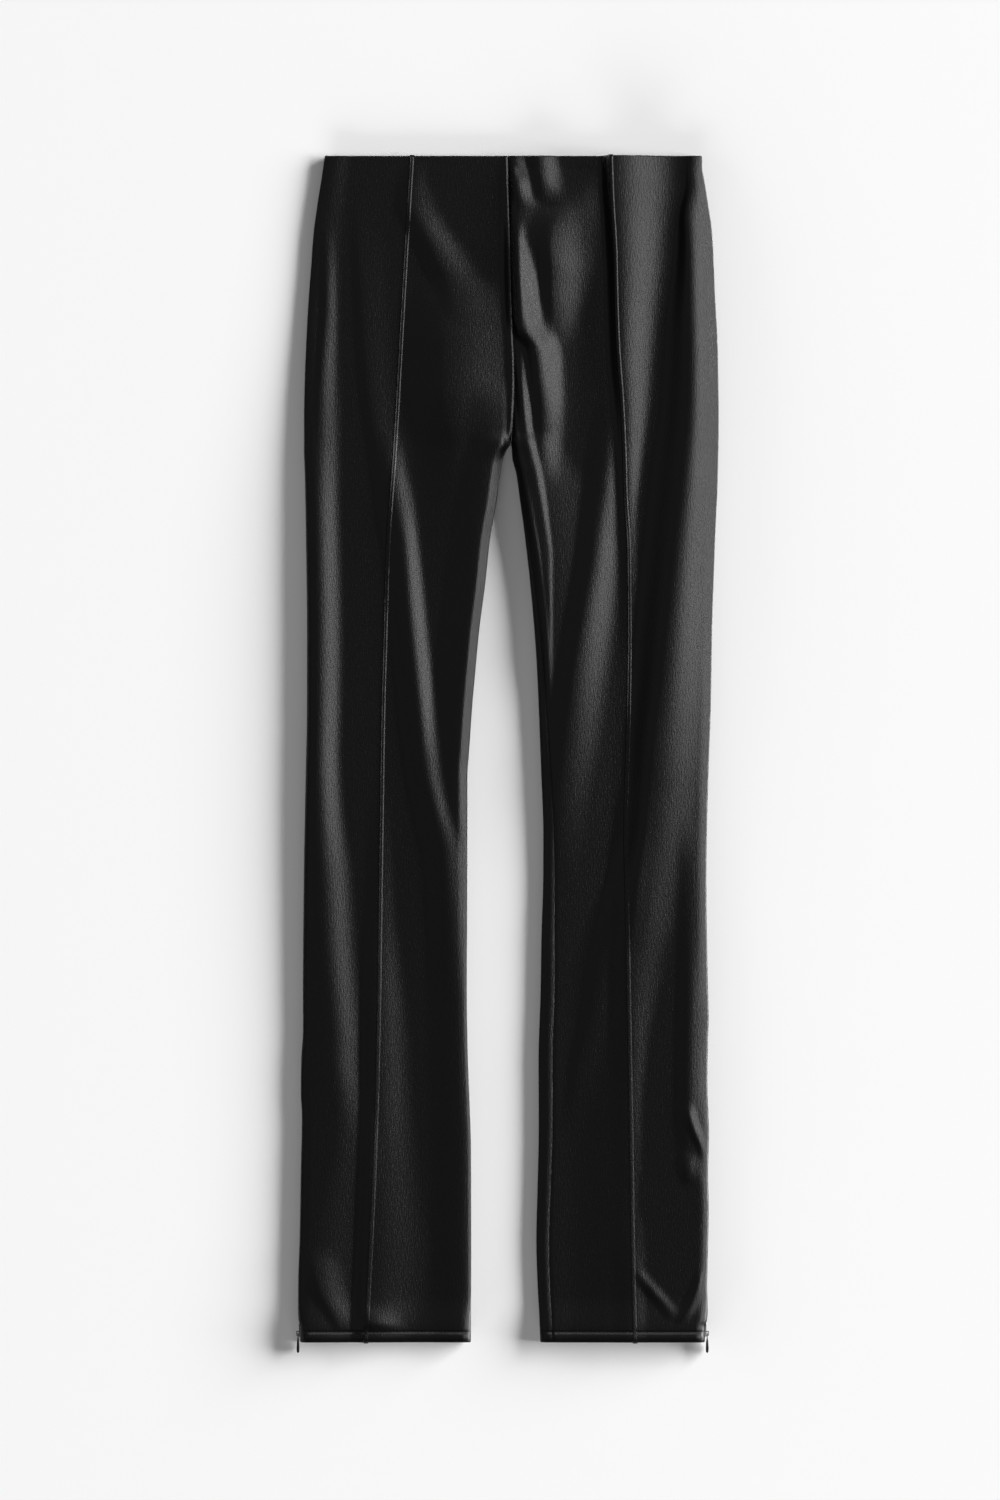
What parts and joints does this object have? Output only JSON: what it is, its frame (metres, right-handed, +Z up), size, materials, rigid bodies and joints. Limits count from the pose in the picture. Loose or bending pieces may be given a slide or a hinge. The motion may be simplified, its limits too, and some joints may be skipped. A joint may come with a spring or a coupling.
{
  "type": "coated leggings",
  "caption": "Full-length coated leggings laid flat, front up, with a pintuck down each leg, turned-up hems and concealed ankle zips.",
  "frame": {"origin": "on the surface under the middle of the whole part", "axes": "+X to the wearer's left, +Y up to the waist, +Z up from the surface, out of the front"},
  "size_m": [0.3737, 1.0605, 0.0141],
  "materials": {
    "coated_cloth": "black polyurethane-coated stretch cloth with a fine lengthwise grain, semi-gloss",
    "zip_tape": "black woven zip tape and nylon coil, matt",
    "zip_metal": "black enamelled metal, semi-gloss"
  },
  "bodies": {
    "garment": {"front_right": "coated_cloth", "back_right": "coated_cloth", "tuck_right": "coated_cloth", "zip_right": "zip_tape", "slider_right": "zip_metal", "front_left": "coated_cloth", "back_left": "coated_cloth", "tuck_left": "coated_cloth", "zip_left": "zip_tape", "slider_left": "zip_metal"},
    "pull_right": {"pull_right": "zip_metal"},
    "pull_left": {"pull_left": "zip_metal"}
  },
  "joints": [
    {"name": "pull_right_swing", "type": "hinge", "parent": "garment", "child": "pull_right", "pos_m": [-0.18581, -0.5128, 0.0034], "axis": [0, 0, 1], "range_deg": [-160, 0]},
    {"name": "pull_left_swing", "type": "hinge", "parent": "garment", "child": "pull_left", "pos_m": [0.17626, -0.5128, 0.0034], "axis": [0, 0, 1], "range_deg": [0, 160]}
  ]
}
